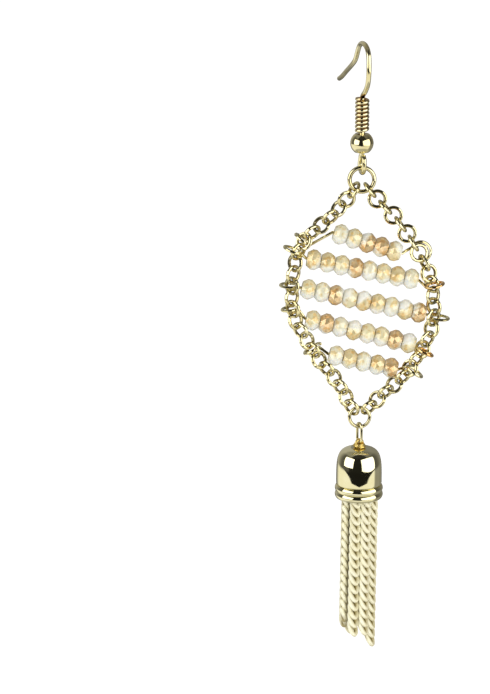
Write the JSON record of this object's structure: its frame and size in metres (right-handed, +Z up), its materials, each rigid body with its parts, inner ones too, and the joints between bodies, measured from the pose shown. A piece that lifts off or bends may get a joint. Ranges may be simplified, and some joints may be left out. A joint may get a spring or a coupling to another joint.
{
  "type": "tassel earring",
  "caption": "Drop earring on a fish hook ear wire: a diamond of chain crossed by rows of faceted glass beads, with a capped chain tassel hanging below.",
  "frame": {"origin": "underside of the top of the hook, where the earring hangs from the ear", "axes": "+Z up, +X to the right of the bead rows as seen from the front, +Y to the back, towards the hook's open end"},
  "size_m": [0.0243, 0.0163, 0.0895],
  "materials": {
    "pale_gold": "polished pale gold plate",
    "rich_gold": "polished deeper gold plate",
    "bead_glass": "milky glass, half coated in champagne lustre",
    "cream_lacquer": "glossy cream lacquer"
  },
  "bodies": {
    "hook": {"ear_wire": "pale_gold", "ear_coil": "pale_gold", "ear_ball": "pale_gold"},
    "drop": {"top_ring": "pale_gold", "chain_left": "pale_gold", "chain_right": "pale_gold", "bead_wire_1": "pale_gold", "bead_wire_2": "pale_gold", "bead_wire_3": "pale_gold", "bead_wire_4": "pale_gold", "bead_wire_5": "pale_gold", "bead_1_1": "bead_glass", "bead_1_2": "bead_glass", "bead_1_3": "bead_glass", "bead_1_4": "bead_glass", "bead_1_5": "bead_glass", "bead_2_1": "bead_glass", "bead_2_2": "bead_glass", "bead_2_3": "bead_glass", "bead_2_4": "bead_glass", "bead_2_5": "bead_glass", "bead_2_6": "bead_glass", "bead_2_7": "bead_glass", "bead_2_8": "bead_glass", "bead_3_1": "bead_glass", "bead_3_2": "bead_glass", "bead_3_3": "bead_glass", "bead_3_4": "bead_glass", "bead_3_5": "bead_glass", "bead_3_6": "bead_glass", "bead_3_7": "bead_glass", "bead_3_8": "bead_glass", "bead_3_9": "bead_glass", "bead_4_1": "bead_glass", "bead_4_2": "bead_glass", "bead_4_3": "bead_glass", "bead_4_4": "bead_glass", "bead_4_5": "bead_glass", "bead_4_6": "bead_glass", "bead_4_7": "bead_glass", "bead_4_8": "bead_glass", "bead_5_1": "bead_glass", "bead_5_2": "bead_glass", "bead_5_3": "bead_glass", "bead_5_4": "bead_glass", "bead_5_5": "bead_glass", "low_ring": "pale_gold"},
    "tassel_drop": {"cap_link": "pale_gold", "cap_eye": "rich_gold", "cap": "pale_gold", "tassel": "cream_lacquer"}
  },
  "joints": [
    {"name": "drop_swing", "type": "hinge", "parent": "hook", "child": "drop", "pos_m": [0, 0, -0.01798], "axis": [0, 1, 0], "range_deg": [-40, 40]},
    {"name": "tassel_swing", "type": "hinge", "parent": "drop", "child": "tassel_drop", "pos_m": [0, 0, -0.05535], "axis": [1, 0, 0], "range_deg": [-40, 40]}
  ]
}
